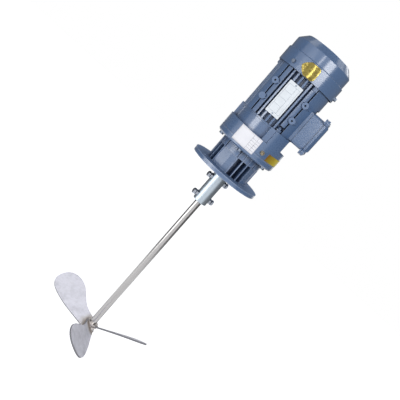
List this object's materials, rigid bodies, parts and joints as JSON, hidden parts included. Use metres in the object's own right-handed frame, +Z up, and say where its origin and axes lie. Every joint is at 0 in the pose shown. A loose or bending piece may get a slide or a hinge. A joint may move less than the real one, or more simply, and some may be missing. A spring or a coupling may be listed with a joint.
{
  "type": "electric tank agitator",
  "caption": "Vertical flange gearmotor that turns a long mixer shaft with a pitched marine propeller to stir the contents of a tank.",
  "frame": {"origin": "centre of the flange's underside, on the shaft axis", "axes": "+Z up along the shaft, from the propeller to the fan cover; -Y is the nameplate side; +X is the terminal box side"},
  "size_m": [0.2998, 0.2827, 0.9055],
  "materials": {
    "housing_paint": "semi-gloss blue-grey paint on a casting",
    "bracket_paint": "semi-gloss blue-grey paint on a casting",
    "frame_paint": "semi-gloss blue-grey paint on a casting",
    "cover_paint": "semi-gloss blue-grey paint on pressed steel",
    "box_paint": "semi-gloss blue-grey paint on a casting",
    "plate_metal": "bare satin plate",
    "rivet_metal": "bare",
    "screw_steel": "zinc plated",
    "bolt_steel": "bare stainless",
    "coupling_steel": "polished",
    "shaft_steel": "polished",
    "hub_steel": "turned, heat tinted near the welds",
    "weld_steel": "weld bead, heat tinted",
    "blade_steel": "mill finish, mottled",
    "plug_brass": "bare",
    "stud_brass": "bare",
    "gland_plastic": "moulded",
    "board_plastic": "moulded",
    "fan_plastic": "moulded",
    "gasket_rubber": "plain",
    "ring_steel": "ground",
    "gear_steel": "oiled",
    "rotor_steel": "machined",
    "stator_steel": "stacked sheet",
    "winding_copper": null
  },
  "bodies": {
    "housing": {"output_housing": "housing_paint", "case_gasket": "gasket_rubber", "case_bolts": "screw_steel", "case_bolt_washers": "screw_steel", "motor_bracket": "bracket_paint", "oil_plug": "plug_brass", "bracket_studs": "screw_steel", "bracket_nuts": "screw_steel", "output_oil_seal": "gasket_rubber", "input_oil_seal": "gasket_rubber", "bearing_circlip": "ring_steel", "output_bearing_outer_rings": "ring_steel", "intermediate_bearing_outer_rings": "ring_steel", "rotor_bearing_outer_rings": "ring_steel", "motor_frame": "frame_paint", "stator_core": "stator_steel", "stator_windings": "winding_copper", "nameplate": "plate_metal", "nameplate_rivets": "rivet_metal", "terminal_box": "box_paint", "terminal_box_gaskets": "gasket_rubber", "terminal_lid": "box_paint", "terminal_lid_screws": "screw_steel", "terminal_board": "board_plastic", "terminal_and_earth_screws": "screw_steel", "terminal_studs": "stud_brass", "cable_gland": "gland_plastic", "cable_gland_cap": "gland_plastic", "cable_gland_nut": "gland_plastic", "rear_shield": "frame_paint", "rear_shield_screws": "screw_steel", "bearing_wave_washer": "ring_steel", "fan_cover": "cover_paint", "fan_cover_screws": "screw_steel"},
    "rotor": {"rotor_shaft": "rotor_steel", "rotor_core": "rotor_steel", "rotor_bearing_inner_rings": "ring_steel", "cooling_fan": "fan_plastic", "fan_circlip": "ring_steel"},
    "intermediate": {"intermediate_shaft": "gear_steel", "intermediate_gear": "gear_steel", "intermediate_gear_key": "gear_steel", "intermediate_bearing_inner_rings": "ring_steel"},
    "mixer": {"output_shaft": "rotor_steel", "output_gear": "gear_steel", "output_gear_key": "gear_steel", "output_gear_spacer": "gear_steel", "output_circlip": "ring_steel", "output_bearing_inner_rings": "ring_steel", "coupling_sleeve": "coupling_steel", "coupling_key": "gear_steel", "coupling_set_bolts": "bolt_steel", "coupling_lock_nuts": "bolt_steel", "mixer_shaft": "shaft_steel", "propeller_hub": "hub_steel", "hub_set_screw": "bolt_steel", "blade_1": "blade_steel", "blade_2": "blade_steel", "blade_3": "blade_steel", "blade_weld_beads": "weld_steel"}
  },
  "joints": [
    {"name": "mixer_spin", "type": "hinge", "parent": "housing", "child": "mixer", "pos_m": [0, 0, 0], "axis": [0, 0, 1], "continuous": true},
    {"name": "intermediate_spin", "type": "hinge", "parent": "housing", "child": "intermediate", "pos_m": [0, 0.036, 0], "axis": [0, 0, 1], "continuous": true},
    {"name": "rotor_spin", "type": "hinge", "parent": "housing", "child": "rotor", "pos_m": [0, 0, 0], "axis": [0, 0, 1], "continuous": true}
  ],
  "couplings": [
    {"joint": "intermediate_spin", "follows": "mixer_spin", "ratio": -2.2},
    {"joint": "rotor_spin", "follows": "mixer_spin", "ratio": 5.3429}
  ]
}
